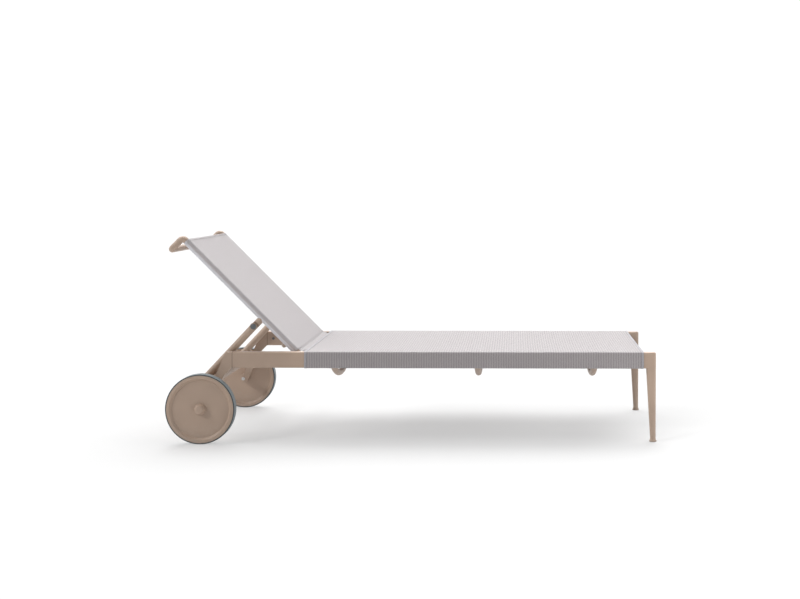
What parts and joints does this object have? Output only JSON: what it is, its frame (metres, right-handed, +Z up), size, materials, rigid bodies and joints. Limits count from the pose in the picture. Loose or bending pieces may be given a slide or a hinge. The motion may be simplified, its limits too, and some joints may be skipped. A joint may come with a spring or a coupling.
{
  "type": "sun lounger",
  "caption": "Low reclining sun lounger with a taut mesh sling, hinged backrest on a notched stay, tapered foot legs and wheels at the head end.",
  "frame": {"origin": "on the floor under the middle of the lounger as it stands, backrest raised", "axes": "+X to the foot end along the length, +Y to the user's left, +Z up"},
  "size_m": [1.879, 0.8212, 0.7814],
  "materials": {
    "paint": "matt powder coat, warm taupe",
    "mesh_fabric": "woven mesh, light grey over mauve grey",
    "tyre": "matt dark grey rubber",
    "foot_glide": "matt",
    "plain_plastic": "matt",
    "rubber_pad": "matt",
    "steel": "plain stainless",
    "dark_screw": "blackened"
  },
  "bodies": {
    "frame": {"axle_clips": "steel", "axle_left": "steel", "axle_right": "steel", "axle_screw_left": "steel", "axle_screw_right": "steel", "axle_washers": "steel", "cross_tube_inserts": "steel", "cross_tube_screws": "steel", "foot_glide_left": "foot_glide", "foot_glide_right": "foot_glide", "hinge_bosses": "paint", "hinge_nuts": "steel", "hinge_pins": "steel", "keder_rods": "plain_plastic", "leg_left": "paint", "leg_right": "paint", "prop_cross_tube": "paint", "recline_stops": "paint", "seat_cross_tube_foot": "paint", "seat_cross_tube_head": "paint", "seat_cross_tube_middle": "paint", "seat_sling": "mesh_fabric", "side_rail_left": "paint", "side_rail_right": "paint", "spigot_screws": "dark_screw", "stop_pads": "rubber_pad", "wheel_bracket_left": "paint", "wheel_bracket_right": "paint"},
    "backrest": {"backrest_brace": "paint", "backrest_frame": "paint", "backrest_knuckle_left": "paint", "backrest_knuckle_right": "paint", "backrest_sling": "mesh_fabric", "hinge_bushes": "plain_plastic", "stay_lug_left": "paint", "stay_lug_right": "paint", "stay_pivot_screws": "dark_screw"},
    "stay": {"stay_bushes": "plain_plastic", "stay_comb_left": "paint", "stay_comb_right": "paint", "stay_end_left": "paint", "stay_end_right": "paint", "stay_frame": "paint"},
    "left_wheel": {"hub_cap_left": "paint", "tyre_left": "tyre", "wheel_bushes_left": "plain_plastic", "wheel_hub_left": "paint", "wheel_inner_shell_left": "paint", "wheel_outer_shell_left": "paint"},
    "right_wheel": {"hub_cap_right": "paint", "tyre_right": "tyre", "wheel_bushes_right": "plain_plastic", "wheel_hub_right": "paint", "wheel_inner_shell_right": "paint", "wheel_outer_shell_right": "paint"}
  },
  "joints": [
    {"name": "backrest_recline", "type": "hinge", "parent": "frame", "child": "backrest", "pos_m": [-0.43206, 0, 0.325], "axis": [0, -1, 0], "range_deg": [0, 45]},
    {"name": "stay_fold", "type": "hinge", "parent": "backrest", "child": "stay", "pos_m": [-0.60658, 0, 0.43361], "axis": [0, -1, 0], "range_deg": [-83.56, 0]},
    {"name": "left_wheel_spin", "type": "hinge", "parent": "frame", "child": "left_wheel", "pos_m": [-0.78916, 0.38, 0.1318], "axis": [0, 1, 0], "continuous": true},
    {"name": "right_wheel_spin", "type": "hinge", "parent": "frame", "child": "right_wheel", "pos_m": [-0.78916, -0.38, 0.1318], "axis": [0, 1, 0], "continuous": true}
  ],
  "couplings": [
    {"joint": "stay_fold", "follows": "backrest_recline", "ratio": -1.8558}
  ]
}
